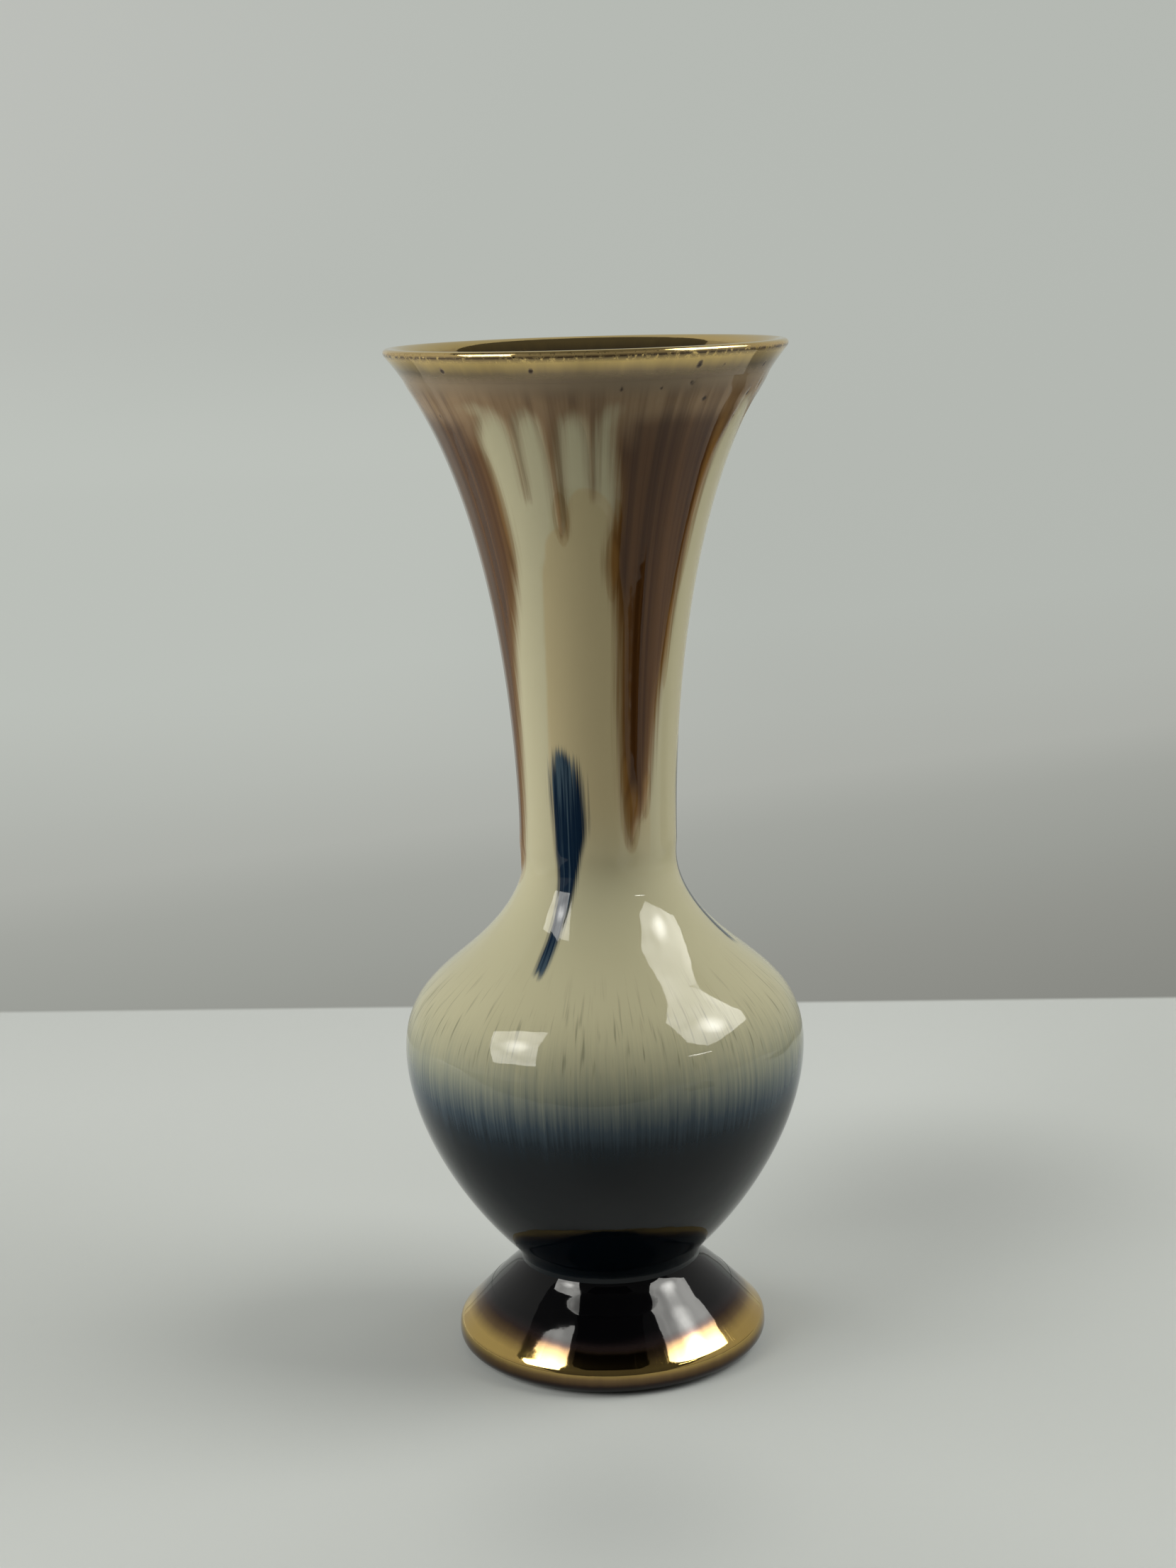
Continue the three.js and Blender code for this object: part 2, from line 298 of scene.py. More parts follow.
def distance_in(loop, angle, z, radius):
    """Distance in mm inside a loop of (degrees, height), negative outside it."""
    scale = np.radians(1) * radius
    nearest = np.full(angle.shape, 1e9)
    crossings = np.zeros(angle.shape, int)
    for (a0, z0), (a1, z1) in zip(loop, np.roll(loop, -1, axis=0)):
        ex, ez = (a1 - a0) * scale, z1 - z0
        px, pz = (angle - a0) * scale, z - z0
        t = np.clip((px * ex + pz * ez) / np.maximum(ex * ex + ez * ez, 1e-9), 0, 1)
        nearest = np.minimum(nearest, np.hypot(px - t * ex, pz - t * ez))
        if z0 != z1:
            crossings += ((z0 > z) != (z1 > z)) & (angle < a0 + (z - z0) / (z1 - z0) * (a1 - a0))
    return np.where(crossings % 2 == 1, nearest, -nearest)


def soft_max(a, b, blend):
    """The larger of two distances, with the corner between them rounded."""
    share = np.clip(0.5 + 0.5 * (a - b) / blend, 0, 1)
    return b + (a - b) * share + blend * share * (1 - share)


def distance_map(loops, start, blend):
    """Adds loops to a map, each worked out only near itself."""
    field = start.copy()
    for loop in loops:
        for turn in (-360, 0, 360):
            moved = loop + (turn, 0)
            first, last = moved[:, 0].min() - NEAR_ANGLE, moved[:, 0].max() + NEAR_ANGLE
            near_angle = (MAP_ANGLES > first) & (MAP_ANGLES < last)
            near_height = MAP_HEIGHTS > moved[:, 1].min() - NEAR_HEIGHT
            if near_angle.any():
                window = np.ix_(near_height, near_angle)
                angle, z = np.meshgrid(MAP_ANGLES[near_angle], MAP_HEIGHTS[near_height])
                distance = distance_in(moved, angle, z, MAP_RADII[near_height][:, None])
                field[window] = soft_max(field[window], distance, blend)
    return field


def collar_distance():
    """The collar's lower edge is wavy where the drips between its runs leave it."""
    angle, z = np.meshgrid(np.radians(MAP_ANGLES), MAP_HEIGHTS)
    edge = COLLAR_LOW_Z + 0.6 * np.sin(7 * angle) + 0.4 * np.sin(17 * angle + 0.7)
    return np.maximum(z - edge, FAR_OUTSIDE)


BROWN_LOOPS = [smooth_loop(left + right) for left, right in (LEFT_RUN, RIGHT_RUN, BACK_RUN)]
BROWN_LOOPS += [drip_loop(*drip) for drip in DRIPS]
STROKE_LOOPS = [smooth_loop(STROKE) + (angle, 0) for angle in STROKE_ANGLES.values()]
BROWN_MAP = distance_map(BROWN_LOOPS, collar_distance(), 2.4)
BLUE_MAP = distance_map(STROKE_LOOPS, np.full(BROWN_MAP.shape, FAR_OUTSIDE), 0.5)
FRONT_PATCH_MAP = distance_map([smooth_loop(FRONT_PATCH)], np.full(BROWN_MAP.shape, FAR_OUTSIDE), 0.5)


def wrapped(angle):
    return (angle + 180) % 360 - 180


def sample(field, angle, z):
    """A map's value at any place, far outside below the map's lowest row."""
    column = (wrapped(angle) + 180) / MAP_STEP
    row = np.clip((z - MAP_HEIGHTS[0]) / MAP_STEP, 0, len(MAP_HEIGHTS) - 1.001)
    i, j = row.astype(int), np.minimum(column.astype(int), len(MAP_ANGLES) - 2)
    u, v = row - i, column - j
    low = field[i, j] * (1 - v) + field[i, j + 1] * v
    high = field[i + 1, j] * (1 - v) + field[i + 1, j + 1] * v
    return np.where(z < MAP_HEIGHTS[0], FAR_OUTSIDE, low * (1 - u) + high * u)


def amber_amount(angle, z):
    """1 in the middle of a pool of thin glaze, falling to 0 round it."""
    amount = np.zeros(angle.shape)
    for a, h, wide, high in AMBER_POOLS:
        reach = np.hypot(wrapped(angle - a) / wide, (z - h) / high)
        amount = np.maximum(amount, np.clip(1.3 - reach, 0, 1))
    return amount


def pit_amount(angle, z, radius):
    """1 in the middle of a pit, falling to 0 round it."""
    amount = np.zeros(angle.shape)
    for a, h, size in PITS:
        reach = np.hypot(np.radians(wrapped(angle - a)) * radius, z - h) / size
        amount = np.maximum(amount, np.exp(-reach**2))
    return amount


def lip_corner(z, radius):
    """1 on the lip's outer corner, where handling has worn the gold."""
    return np.exp(-(((z - LIP_Z - 0.3) / 0.6) ** 2)) * (radius > LIP_R - 1.2)


# ---- meshes ----------------------------------------------------------------------------


def new_object(name, vertices, faces):
    """A smooth-shaded mesh object in the scene."""
    mesh = bpy.data.meshes.new(name)
    mesh.from_pydata(vertices.tolist(), [], faces)
    mesh.shade_smooth()
    piece = bpy.data.objects.new(name, mesh)
    bpy.context.scene.collection.objects.link(piece)
    return piece


def compacted(vertices, faces):
    """Drops unused vertices. Returns the kept ones' old numbers too."""
    used = np.unique(np.concatenate([np.ravel(face) for face in faces]))
    number = np.full(len(vertices), -1)
    number[used] = np.arange(len(used))
    return vertices[used], [number[face].tolist() for face in faces], used


def turned_points(radius, z, turn):
    """Points at these radii and heights, turned round the axis, in metres, row by row."""
    points = np.stack([radius * np.sin(turn), -radius * np.cos(turn), z + 0 * turn], axis=-1)
    return points.reshape(-1, 3) * MM


def grid_quads(row, column, n_rows, n_columns):
    """The four corners of each cell of a grid of points numbered row by row."""
    above, across = (row + 1) % n_rows, (column + 1) % n_columns
    corners = (row * n_columns + column, row * n_columns + across,
               above * n_columns + across, above * n_columns + column)
    return np.stack(np.broadcast_arrays(*corners), axis=-1)


def lathe(name, outline, segments, closed=False, normals=None):
    """A solid of revolution. An outline that is not closed starts and ends on the axis."""
    angles = np.linspace(-180, 180, segments, endpoint=False)
    rows = len(outline)
    row = np.arange(rows if closed else rows - 1)[:, None]
    column = np.arange(segments)[None, :]
    quads = grid_quads(row, column, rows, segments).reshape(-1, 4)
    on_axis = np.repeat(outline[:, 0] < 1e-6, segments)
    joined = np.arange(rows * segments)
    joined[on_axis] -= joined[on_axis] % segments
    quads = joined[quads]
    whole = (quads[:, 0] != quads[:, 1]) & (quads[:, 2] != quads[:, 3])
    pointed = [[c for i, c in enumerate(q) if c != q[i - 1]] for q in quads[~whole].tolist()]
    faces = list(quads[whole]) + [np.array(face) for face in pointed if len(face) > 2]
    points = turned_points(outline[:, 0, None], outline[:, 1, None], np.radians(angles))
    vertices, faces, used = compacted(points, faces)
    piece = new_object(name, vertices, faces)
    if normals is not None:
        turn = np.radians(angles[used % segments])
        along = normals[used // segments]
        bent = np.c_[along[:, 0] * np.sin(turn), -along[:, 0] * np.cos(turn), along[:, 1]]
        piece.data.normals_split_custom_set_from_vertices(bent)
    return piece


def coat(name, bare, glazed, first, last, segments=SEGMENTS):
    """A coat over part of an outline.

    Its normals follow the whole outline, so that neighbouring coats join unseen."""
    part = slice(first, last + 1)
    loop = np.vstack([bare[part][::-1], glazed[part]])
    normals = np.vstack([left_of(bare)[part][::-1], -left_of(glazed)[part]])
    return lathe(name, loop, segments, closed=bare[last, 0] > 1e-6, normals=normals)


def raised_layer(name, low, high, field, height, span=(-180, 180), segments=SEGMENTS):
    """A closed layer wherever the map is above -1, from inside the cream glaze up to height."""
    rows = outside[row_at(outside, low):row_at(outside, high) + 1]
    around = span[1] - span[0] == 360
    angles = np.linspace(span[0], span[1], segments, endpoint=not around)
    angle, z = np.meshgrid(angles, rows[:, 1])
    radius = rows[:, 0, None] + 0 * angle
    distance = sample(field, angle, z)
    lift = height(distance, angle, z, radius)
    out = -left_of(rows)
    turn = np.radians(angle)

    def surface(raised):
        return turned_points(radius + out[:, 0, None] * raised, z + out[:, 1, None] * raised, turn)

    n_rows, n_columns = z.shape
    row = np.arange(n_rows - 1)[:, None]
    column = np.arange(n_columns if around else n_columns - 1)[None, :]
    across = (column + 1) % n_columns
    kept = distance > -1.0
    cell = kept[row, column] | kept[row + 1, column] | kept[row, across] | kept[row + 1, across]
    quads = grid_quads(row, column, n_rows, n_columns)[cell]
    edges = np.concatenate([quads[:, [i, (i + 1) % 4]] for i in range(4)])
    size = n_rows * n_columns
    forward = edges[:, 0] * size + edges[:, 1]
    backward = edges[:, 1] * size + edges[:, 0]
    rim = edges[~np.isin(forward, backward)]
    walls = np.c_[rim[:, 1], rim[:, 0], rim[:, 0] + size, rim[:, 1] + size]
    faces = list(np.vstack([quads, quads[:, ::-1] + size, walls]))
    vertices = np.vstack([surface(lift), surface(np.full(z.shape, -SUNK))])
    vertices, faces, _ = compacted(vertices, faces)
    return new_object(name, vertices, faces)


def set_attribute(piece, name, values):
    attribute = piece.data.attributes.new(name, "FLOAT", "POINT")
    attribute.data.foreach_set("value", np.asarray(values, np.float32))


def paint(piece):
    """Marks every vertex for the glaze's colours.

    brown, blue, gilt and the darker front patch say how far in from that area's edge it lies, in mm.
    amber, pit, worn and lining say how much of each there is."""
    position = np.zeros(len(piece.data.vertices) * 3)
    piece.data.vertices.foreach_get("co", position)
    x, y, z = position.reshape(-1, 3).T / MM
    radius = np.hypot(x, y)
    angle = np.degrees(np.arctan2(x, -y))
    middle = np.interp(z, outside[:, 1], outside[:, 0]) - WALL / 2
    is_inside = (radius < middle) & (z > WAIST_Z)
    lip_band = np.where(is_inside, z - GILT_INSIDE_Z, z - GILT_LOW_Z)
    # The thin film left at the front is partly painted shade. It dims the softbox highlights on the
    # front of the foot.
    dip = FOOT_GILT_DIP * np.clip(np.cos(np.radians(angle)), 0, 1) ** 4
    foot_band = np.minimum(FOOT_GILT_TOP_Z - dip - z, z - FOOT_GILT_LOW_Z)
    for name, field in (("brown", BROWN_MAP), ("blue", BLUE_MAP), ("front_patch", FRONT_PATCH_MAP)):
        set_attribute(piece, name, np.where(is_inside, FAR_OUTSIDE, sample(field, angle, z)))
    set_attribute(piece, "amber", amber_amount(angle, z))
    set_attribute(piece, "pit", np.where(is_inside, 0.0, pit_amount(angle, z, radius)))
    set_attribute(piece, "worn", lip_corner(z, radius))
    set_attribute(piece, "lining", is_inside)
    set_attribute(piece, "gilt", np.where(z > WAIST_Z, lip_band, foot_band))


def rise(x, low, high):
    """A smooth change from 0 to 1 as x goes from low to high."""
    t = np.clip((x - low) / (high - low), 0, 1)
    return t * t * (3 - 2 * t)


def brown_height(distance, angle, z, radius):
    """The runs rise from nothing at their edges and swell towards their tips."""
    ridges = 0.05 * np.sin(np.radians(23 * angle)) * np.sin(np.radians(9 * angle + 30))
    height = BROWN_THICK * rise(distance, -0.6, 2.6) + ridges * rise(distance, 0.5, 3)
    for tip_angle, tip_z in RUN_TIPS:
        reach = np.hypot(np.radians(wrapped(angle - tip_angle)) * radius / 4, (z - tip_z) / 5)
        height += TIP_SWELL * np.exp(-reach**2) * rise(distance, -0.6, 2)
    height *= rise(GILT_LOW_Z - z, 0.5, 4)
    return height - BROWN_EDGE - PIT_DEPTH * pit_amount(angle, z, radius)


def blue_height(distance, angle, z, radius):
    """The strokes are thin and nearly even."""
    return BLUE_THICK * rise(distance, -0.8, 1.2) - BLUE_EDGE


# ---- material nodes ------------------------------------------------------------------------


class Graph:
    """Short names for building a node tree."""

    def __init__(self, name):
        self.material = bpy.data.materials.new(name)
        self.material.use_nodes = True
        self.nodes = self.material.node_tree.nodes
        self.links = self.material.node_tree.links
        self.nodes.clear()
        self.shader = self.nodes.new("ShaderNodeBsdfPrincipled")
        output = self.nodes.new("ShaderNodeOutputMaterial")
        self.links.new(self.shader.outputs[0], output.inputs[0])
        self.position = self.nodes.new("ShaderNodeTexCoord").outputs["Object"]

    def put(self, socket, value):
        if isinstance(value, bpy.types.NodeSocket):
            self.links.new(value, socket)
        else:
            socket.default_value = value

    def math(self, operation, a, b=0.0):
        node = self.nodes.new("ShaderNodeMath")
        node.operation = operation
        self.put(node.inputs[0], a)
        self.put(node.inputs[1], b)
        return node.outputs[0]

    def add(self, a, b):
        return self.math("ADD", a, b)

    def times(self, a, b):
        return self.math("MULTIPLY", a, b)

    def step(self, value, low, high, to_low=0.0, to_high=1.0):
        """A smooth change from to_low to to_high as value goes from low to high."""
        node = self.nodes.new("ShaderNodeMapRange")
        node.interpolation_type = "SMOOTHSTEP"
        for socket, number in zip(node.inputs, (value, low, high, to_low, to_high)):
            self.put(socket, number)
        return node.outputs[0]

    def mix(self, factor, a, b):
        node = self.nodes.new("ShaderNodeMix")
        node.data_type = "RGBA"
        self.put(node.inputs["Factor"], factor)
        self.put(node.inputs[6], a)
        self.put(node.inputs[7], b)
        return node.outputs[2]

    def noise(self, vector, scale, detail=3.0, roughness=0.5):
        node = self.nodes.new("ShaderNodeTexNoise")
        self.put(node.inputs["Vector"], vector)
        node.inputs["Scale"].default_value = scale
        node.inputs["Detail"].default_value = detail
        node.inputs["Roughness"].default_value = roughness
        return node.outputs["Fac"]

    def ramp(self, value, low, high, stops):
        """Colours at values between low and high."""
        node = self.nodes.new("ShaderNodeValToRGB")
        scale = self.nodes.new("ShaderNodeMapRange")
        for socket, number in zip(scale.inputs, (value, low, high, 0.0, 1.0)):
            self.put(socket, number)
        self.links.new(scale.outputs[0], node.inputs[0])
        elements = node.color_ramp.elements
        while len(elements) < len(stops):
            elements.new(0.5)
        for element, (place, colour) in zip(elements, stops):
            element.position = (place - low) / (high - low)
            element.color = colour
        return node.outputs[0]

    def attribute(self, name):
        node = self.nodes.new("ShaderNodeAttribute")
        node.attribute_name = name
        return node.outputs["Fac"]

    def xyz(self, vector):
        node = self.nodes.new("ShaderNodeSeparateXYZ")
        self.put(node.inputs[0], vector)
        return node.outputs

    def meridian(self, around, along):
        """Coordinates that follow the vase: round it at one rate, up it at another."""
        x, y, z = self.xyz(self.position)
        r = self.math("SQRT", self.add(self.times(x, x), self.times(y, y)))
        r = self.math("MAXIMUM", r, 1e-4)
        node = self.nodes.new("ShaderNodeCombineXYZ")
        self.put(node.inputs[0], self.times(self.math("DIVIDE", x, r), around))
        self.put(node.inputs[1], self.times(self.math("DIVIDE", y, r), around))
        self.put(node.inputs[2], self.times(z, along))
        return node.outputs[0]

    def bump(self, height, distance, after=None):
        node = self.nodes.new("ShaderNodeBump")
        node.inputs["Strength"].default_value = 1.0
        node.inputs["Distance"].default_value = distance
        self.put(node.inputs["Height"], height)
        if after is not None:
            self.links.new(after, node.inputs["Normal"])
        return node.outputs[0]

    def set(self, **values):
        for name, value in values.items():
            self.put(self.shader.inputs[name.replace("_", " ")], value)


def tone(r, g, b):
    """A colour as its reflectance in linear light."""
    return (r, g, b, 1.0)


def rgb(r, g, b):
    """A colour given in 0-255 display values, as linear light."""
    return tuple(((c / 255 + 0.055) / 1.055) ** 2.4 for c in (r, g, b)) + (1.0,)


CREAM = tone(0.368, 0.338, 0.212)
CREAM_COOL = tone(0.357, 0.335, 0.208)
FRONT_PATCH_TONE = tone(0.360, 0.302, 0.170)
BROWN = tone(0.078, 0.034, 0.010)
BROWN_DARK = tone(0.038, 0.014, 0.003)
BROWN_THIN = tone(0.215, 0.140, 0.072)
AMBER = tone(0.148, 0.075, 0.021)
SCORCHED = tone(0.035, 0.020, 0.010)
STROKE_BLUE = tone(0.004, 0.012, 0.026)
STROKE_PALE = tone(0.042, 0.066, 0.084)
HAZE_GREY = tone(0.205, 0.152, 0.092)
OLIVE = tone(0.085, 0.075, 0.032)
OLIVE_DARK = tone(0.060, 0.052, 0.022)
BLACK_GLAZE = tone(0.0010, 0.0010, 0.0013)
BLACK_CLOUD = tone(0.0016, 0.0015, 0.0018)
GOLD = tone(0.70, 0.49, 0.16)
GOLD_DEEP = tone(0.52, 0.34, 0.10)
HAZE_PURPLE = tone(0.012, 0.008, 0.008)
PALE_AMBER = tone(0.235, 0.160, 0.070)
FLECK = tone(0.110, 0.110, 0.070)
BISQUE = tone(0.300, 0.225, 0.165)
BISQUE_BLOTCH = tone(0.215, 0.150, 0.102)
BISQUE_GRIT = tone(0.107, 0.077, 0.054)
FIRED_SLIP = tone(0.371, 0.288, 0.209)
NOTHING = tone(0, 0, 0)
# The cream sinks into the cobalt: reflectances by height.
SINKING = [
    (50, tone(0.0008, 0.0024, 0.0042)), (55, tone(0.0014, 0.0042, 0.0066)),
    (59, tone(0.0042, 0.0105, 0.0165)), (63, tone(0.026, 0.041, 0.053)),
    (67, tone(0.090, 0.105, 0.096)), (71, tone(0.182, 0.189, 0.138)),
    (76, tone(0.278, 0.268, 0.172)), (81, tone(0.336, 0.317, 0.197)), (85, CREAM_COOL),
]


def body_colour(g, z, streaks, fine_streaks, clouds):
    """Cream over cobalt, with the blue strokes and the brown runs laid on it."""
    hairs = g.noise(g.meridian(75, 34), 1.0, 3.0, 0.6)
    wander = g.add(g.times(g.add(fine_streaks, -0.5), 6.0), g.times(g.add(hairs, -0.5), 8.0))
    colour = g.ramp(g.add(z, wander), 50, 85, SINKING)
    colour = g.mix(g.step(g.add(z, g.times(g.add(clouds, -0.5), 20.0)), 98, 116), colour, CREAM)

    # Dark flecks where the cobalt has come up through the cream.
    fleck = g.step(g.noise(g.meridian(60, 150), 1.0, 1.0), 0.54, 0.80)
    fleck = g.times(fleck, g.times(g.step(z, 72, 77), g.step(z, 80, 94, 0.6, 0.0)))
    colour = g.mix(fleck, colour, FLECK)

    # The darker, warmer front patch fades out over the shoulder.
    front_patch = g.times(g.step(g.attribute("front_patch"), -0.3, 0.5), g.step(z, 106, 128))
    colour = g.mix(front_patch, colour, FRONT_PATCH_TONE)

    # The strokes are frayed at the top and streaked by the brush at both ends.
    blue = g.add(g.attribute("blue"), g.times(g.add(hairs, -0.5), g.step(z, 112, 134, 1.5, 6.0)))
    stroke = g.step(blue, -0.7, g.step(z, 112, 134, 0.8, 2.0))
    worn_ends = g.add(g.step(z, 118, 136, 0.0, 0.16), g.step(z, 90, 99, 0.16, 0.0))
    bristles = g.add(fine_streaks, worn_ends)
    stroke_colour = g.mix(g.step(bristles, 0.54, 0.76, 0.0, 0.9), STROKE_BLUE, STROKE_PALE)
    colour = g.mix(stroke, colour, stroke_colour)

    # The brown is amber in its pools and at its edges, and thin where it leaves the collar.
    colour = g.mix(g.step(g.attribute("amber"), 0.28, 0.42, 0.0, 0.4), colour, PALE_AMBER)
    distance = g.attribute("brown")
    brown = g.add(distance, g.times(g.add(fine_streaks, -0.5), 3.5))
    deep = g.mix(g.step(streaks, 0.35, 0.65), BROWN_DARK, BROWN)
    edge = g.step(brown, 0.6, 3.6, 0.7, 0.0)
    amber = g.math("MAXIMUM", g.step(g.attribute("amber"), 0.1, 0.9), edge)
    deep = g.mix(amber, deep, AMBER)
    near_edge = g.step(distance, 3.0, 7.5, 1.0, 0.15)
    thin = g.times(g.step(z, 198, 209), near_edge)
    thin = g.times(thin, g.step(streaks, 0.35, 0.62, 0.5, 1.0))
    deep = g.mix(thin, deep, BROWN_THIN)
    colour = g.mix(g.step(brown, -1.6, g.step(z, 180, 205, 1.8, 2.4)), colour, deep)
    colour = g.mix(g.step(z, 209.5, 213.5, 0.0, 0.85), colour, HAZE_GREY)
    return g.mix(g.step(g.attribute("pit"), 0.35, 0.8), colour, SCORCHED)


def foot_colour(g, clouds):
    """Black glaze, clouded with purple where the gold fades out over it."""
    colour = g.mix(g.step(clouds, 0.3, 0.7), BLACK_GLAZE, BLACK_CLOUD)
    fade = g.add(g.attribute("gilt"), g.times(g.add(clouds, -0.5), 3.0))
    return g.mix(g.step(fade, -3.0, 0.0), colour, HAZE_PURPLE)


def lining_colour(g, clouds):
    """Olive glaze, uneven in depth."""
    return g.mix(g.step(clouds, 0.3, 0.7), OLIVE, OLIVE_DARK)


# The lustre's reflectance, by how far in from its edge it lies: a thin film, then full gold.
RIM_LUSTRE = [
    (-1.6, tone(0.24, 0.18, 0.11)), (0.4, tone(0.28, 0.21, 0.125)), (2.6, tone(0.69, 0.50, 0.20)),
]
FOOT_LUSTRE = [
    (-2.2, tone(0.012, 0.010, 0.010)), (-0.8, tone(0.045, 0.028, 0.023)),
    (0.9, tone(0.21, 0.135, 0.065)), (2.8, GOLD),
]
LUSTRE_FADE = 2.2        # the film becomes opaque over this distance, in mm


def glazed_surface(name, ground, ior=1.365):
    """One glaze graph for every coat, so that they melt into each other where they meet.

    ground is the glaze under the gold: "body" is cream over cobalt, "foot" black, "inside" olive."""
    g = Graph(name)
    z = g.times(g.xyz(g.position)[2], 1 / MM)
    streaks = g.noise(g.meridian(11, 8), 1.0, 4.0, 0.6)
    fine_streaks = g.noise(g.meridian(30, 26), 1.0, 4.0, 0.6)
    clouds = g.noise(g.position, 38, 3.0)
    grain = g.noise(g.position, 420, 2.0)

    if ground == "body":
        outer = body_colour(g, z, streaks, fine_streaks, clouds)
        colour = g.mix(g.attribute("lining"), outer, lining_colour(g, clouds))
    elif ground == "foot":
        colour = foot_colour(g, clouds)
    else:
        colour = lining_colour(g, clouds)

    ragged = 1.2 if ground == "body" else 0.5
    waver = g.times(g.add(g.noise(g.meridian(18, 70), 1.0, 4.0), -0.5), ragged)
    gilt = g.add(g.attribute("gilt"), waver)
    flecks = g.noise(g.meridian(34, 700), 1.0, 4.0, 0.7)
    bare = g.times(g.attribute("worn"), g.step(flecks, 0.36, 0.50))
    no_pit = g.step(g.attribute("pit"), 0.25, 0.6, 1.0, 0.0)
    spared = g.times(g.math("SUBTRACT", 1.0, bare), no_pit)
    film = FOOT_LUSTRE if ground == "foot" else RIM_LUSTRE
    film_start, film_end = film[0][0], film[-1][0]
    lustre = g.times(g.step(gilt, film_start, film_start + LUSTRE_FADE), spared)
    gold = g.ramp(gilt, film_start, film_end, film)
    deep_gold = g.mix(g.step(gilt, 0.0, 2.6), gold, GOLD_DEEP)
    gold = g.mix(g.step(clouds, 0.4, 0.7, 0.0, 0.5), gold, deep_gold)
    colour = g.mix(lustre, g.mix(bare, colour, SCORCHED), gold)

    wear = g.step(g.noise(g.meridian(60, 160), 1.0, 4.0, 0.7), 0.5, 0.75, 0.05, 0.16)
    glaze_roughness = g.step(grain, 0.2, 0.8, 0.03, 0.05)
    no_lustre = g.math("SUBTRACT", 1.0, lustre)
    roughness = g.add(g.times(glaze_roughness, no_lustre), g.times(wear, lustre))
    peel = g.bump(g.noise(g.position, 110, 2.0), 0.00008)
    g.set(Base_Color=colour, Metallic=lustre, Roughness=roughness, IOR=ior,
          Normal=g.bump(grain, 0.000006, after=peel))
    return g.material


def bisque_material(name, colour):
    """Bare fired clay: matt, with fine grit."""
    g = Graph(name)
    grit = g.noise(g.position, 900, 4.0, 0.7)
    blotch = g.noise(g.position, 60, 3.0)
    base = g.mix(g.step(blotch, 0.3, 0.7), colour, BISQUE_BLOTCH)
    base = g.mix(g.step(grit, 0.62, 0.75), base, BISQUE_GRIT)
    roughness = g.step(grit, 0.3, 0.7, 0.7, 0.9)
    g.set(Base_Color=base, Roughness=roughness, Normal=g.bump(grit, 0.00012))
    return g.material


# ---- the pieces ------------------------------------------------------------------------------


def finish_piece(piece, node, material):
    """Gives a piece its material, makes it move with the root body, and hides the node it replaces."""
    piece.data.materials.append(material)
    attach(piece, "root")
    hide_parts(node)


def add_vessel_casting(bisque):
    wall = resample(skin_bare[row_at(outside, WAIST_Z):], HIDDEN_ROW)
    wall[0] = (WAIST_R - GLAZE, WAIST_Z)
    vessel = lathe("vessel_casting_body", np.vstack([[(0, WAIST_Z)], wall]), CORE_SEGMENTS)
    finish_piece(vessel, "vessel_casting", bisque)


def add_foot_casting(bisque):
    rim = foot_bare.copy()
    rim[0] = (FOOT_BASE_R - GLAZE, 0)
    rim[-1] = (WAIST_R - GLAZE, SLIP_Z)
    outline = np.vstack([recess_outline(), rim, [(0, SLIP_Z)]])
    casting = lathe("foot_casting_body", outline, 2 * CORE_SEGMENTS)
    casting.data.set_sharp_from_angle(angle=math.radians(50))
    finish_piece(casting, "foot_casting", bisque)


def add_luting_slip():
    r = WAIST_R - GLAZE
    middle = (SLIP_Z + WAIST_Z) / 2
    edge = [(r - 0.15, SLIP_Z), (r, middle), (r - 0.15, WAIST_Z)]
    outline = np.array([(0, SLIP_Z)] + edge + [(0, WAIST_Z)])
    slip = lathe("luting_slip_body", outline, CORE_SEGMENTS)
    finish_piece(slip, "luting_slip", bisque_material("slip", FIRED_SLIP))


def add_body_coats(body_glaze, cobalt_glaze):
    cream_row = row_at(outside, CREAM_FROM_Z)
    cobalt = coat("cobalt_glaze_coat", skin_bare, skin, 0, cream_row)
    cream = coat("cream_glaze_coat", skin_bare, skin, cream_row, LIP_END)
    paint(cobalt)
    finish_piece(cobalt, "cobalt_glaze", cobalt_glaze)
    paint(cream)
    finish_piece(cream, "cream_glaze", body_glaze)


def add_lining(olive_glaze):
    lining = coat("inner_glaze_coat", skin_bare, skin, LIP_END, len(skin) - 1)
    paint(lining)
    finish_piece(lining, "inner_glaze", olive_glaze)


def add_foot_coat(foot_glaze):
    base = coat("foot_glaze_coat", foot_bare, foot, 1, len(foot) - 1)
    paint(base)
    finish_piece(base, "foot_glaze", foot_glaze)


def add_brown_runs(body_glaze):
    high = GILT_LOW_Z + 0.5
    brown = raised_layer("brown_glaze_runs", 102, high, BROWN_MAP, brown_height, segments=RUN_SEGMENTS)
    paint(brown)
    finish_piece(brown, "brown_glaze", body_glaze)


def add_brush_strokes(body_glaze):
    for name, middle in STROKE_ANGLES.items():
        span = (middle - STROKE_REACH, middle + STROKE_REACH)
        stroke = raised_layer(name + "_glaze", 86, 142, BLUE_MAP, blue_height, span, STROKE_SEGMENTS)
        paint(stroke)
        finish_piece(stroke, name, body_glaze)


def add_gilding(body_glaze, foot_glaze):
    first = row_at(outside, GILT_LOW_Z - 1.2)
    last = LIP_END + row_at(skin[LIP_END:LIP_END + 20], GILT_INSIDE_Z - 3)
    rim = coat("rim_gilding_lustre", skin, offset(skin, -LUSTRE), first, last, RIM_SEGMENTS)
    paint(rim)
    finish_piece(rim, "rim_gilding", body_glaze)

    first = row_at(foot[:30], FOOT_GILT_LOW_Z - 1.2)
    last = row_at(foot, FOOT_GILT_TOP_Z + 2.5)
    edge = coat("foot_gilding_lustre", foot, offset(foot, -LUSTRE), first, last)
    paint(edge)
    finish_piece(edge, "foot_gilding", foot_glaze)


# ---- the stage ---------------------------------------------------------------------------------

